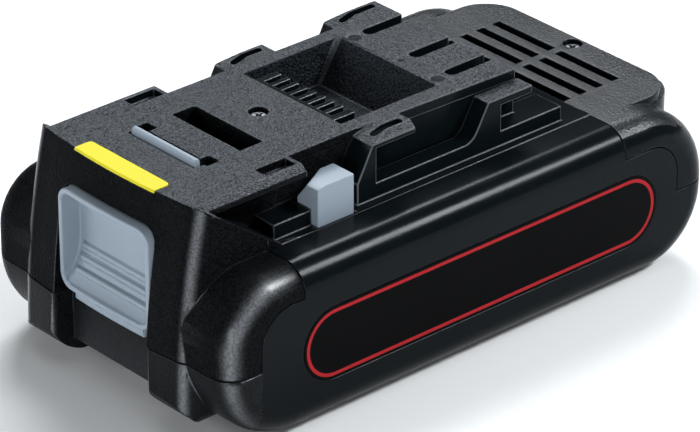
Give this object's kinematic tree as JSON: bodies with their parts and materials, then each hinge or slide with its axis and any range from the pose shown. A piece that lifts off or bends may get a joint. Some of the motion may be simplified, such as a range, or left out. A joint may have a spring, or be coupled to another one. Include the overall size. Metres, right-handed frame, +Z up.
{
  "type": "power tool battery pack",
  "caption": "Slide-on cordless tool battery pack: two-part case around round cells, slide platform with tabs and terminal comb, push-down release latch, vent plate.",
  "frame": {"origin": "on the ground under the middle of the pack", "axes": "+X from the nose with the release button to the vent end, +Y to the left side seen from the nose end's back, +Z up out of the slide platform"},
  "size_m": [0.1383, 0.0768, 0.0525],
  "materials": {
    "case_plastic": "fine spark-eroded grain, satin cheeks",
    "latch_plastic": "satin grey",
    "spring_steel": "bright drawn wire",
    "strip_plastic": "bright yellow, satin",
    "label_film": "printed film, bare inside a red border",
    "terminal_plastic": "moulded",
    "contact_brass": "plated",
    "board_green": "solder mask",
    "chip_black": "moulded",
    "carrier_plastic": "moulded",
    "cell_jacket": "shrink film",
    "holder_plastic": "moulded",
    "nickel": "rolled strip",
    "sheet_white": "thin sheet",
    "screw_steel": "zinc plated",
    "sensor_epoxy": "dipped bead"
  },
  "bodies": {
    "pack": {"lower_case": "case_plastic", "upper_case": "case_plastic", "latch_springs": "spring_steel", "indicator_strip": "strip_plastic", "label_right": "label_film", "label_left": "label_film", "terminal_block": "terminal_plastic", "terminal_contacts": "contact_brass", "circuit_board": "board_green", "board_chips": "chip_black", "board_carrier": "carrier_plastic", "cell_1": "cell_jacket", "cell_2": "cell_jacket", "cell_3": "cell_jacket", "cell_4": "cell_jacket", "cell_5": "cell_jacket", "cell_holder_right": "holder_plastic", "cell_holder_left": "holder_plastic", "cell_links_right": "nickel", "cell_links_left": "nickel", "insulator_right": "sheet_white", "insulator_left": "sheet_white", "plus_tab": "nickel", "minus_tab": "nickel", "case_screws": "screw_steel", "thermistor": "sensor_epoxy"},
    "latch": {"release_button": "latch_plastic", "latch_yoke": "latch_plastic"}
  },
  "joints": [
    {"name": "latch_press", "type": "slide", "parent": "pack", "child": "latch", "axis": [0, 0, -1], "range_m": [0, 0.005], "stiffness_N_per_m": 600, "springref_m": -0.008, "deforming": ["latch_springs"]}
  ]
}
